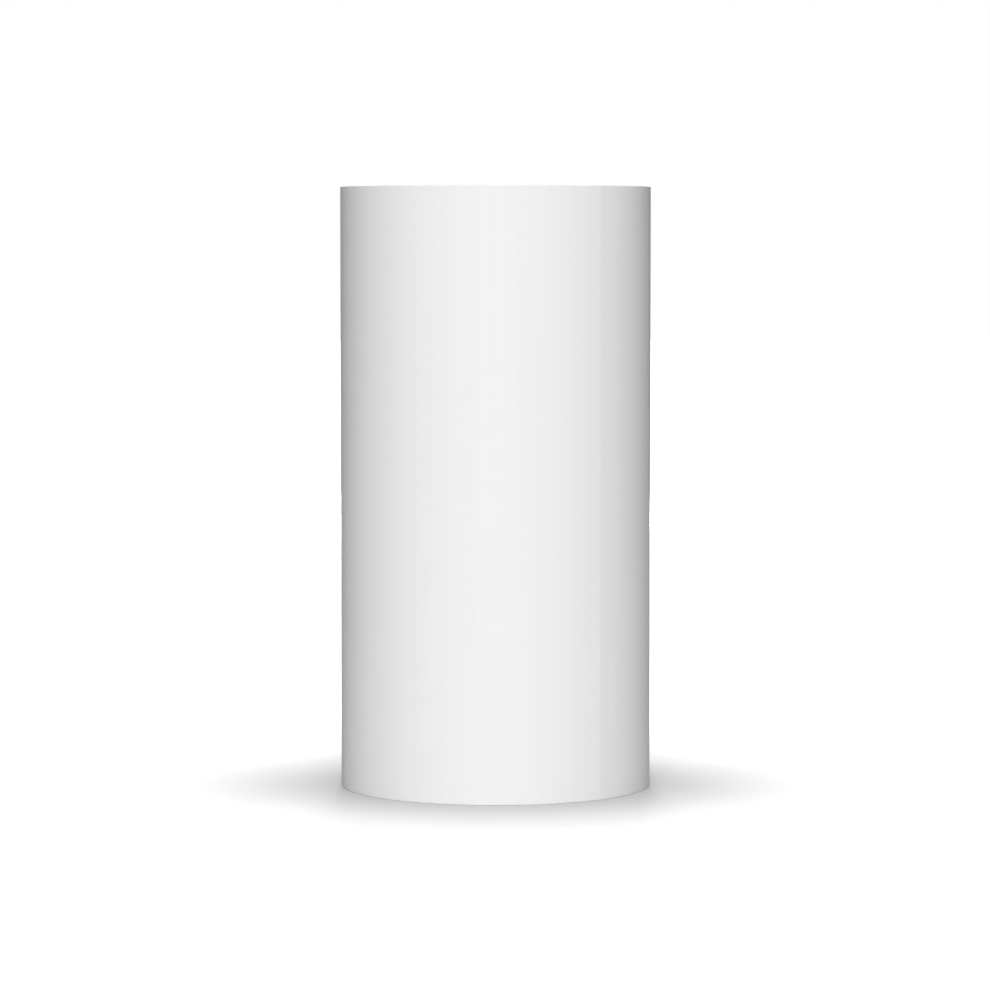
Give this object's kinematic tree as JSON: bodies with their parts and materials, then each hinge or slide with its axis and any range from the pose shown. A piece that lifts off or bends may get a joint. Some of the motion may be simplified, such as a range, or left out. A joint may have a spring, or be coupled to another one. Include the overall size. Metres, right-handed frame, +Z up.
{
  "type": "facade column segment",
  "caption": "Plain round shaft segment for a facade column, a white primed tube of moulded foam with square ends and an open bore.",
  "frame": {"origin": "centre of the lower end face, on the column's axis", "axes": "+Z up along the column's axis, -Y towards the front as pictured, +X to the viewer's right. The parting line that shows is 41.1 degrees from -Y towards +X, and the other is opposite it."},
  "size_m": [0.31, 0.31, 0.6],
  "materials": {
    "white_primer": "matte white primer on moulded rigid polyurethane foam"
  },
  "bodies": {
    "root": {"shaft_segment": "white_primer"}
  },
  "joints": []
}
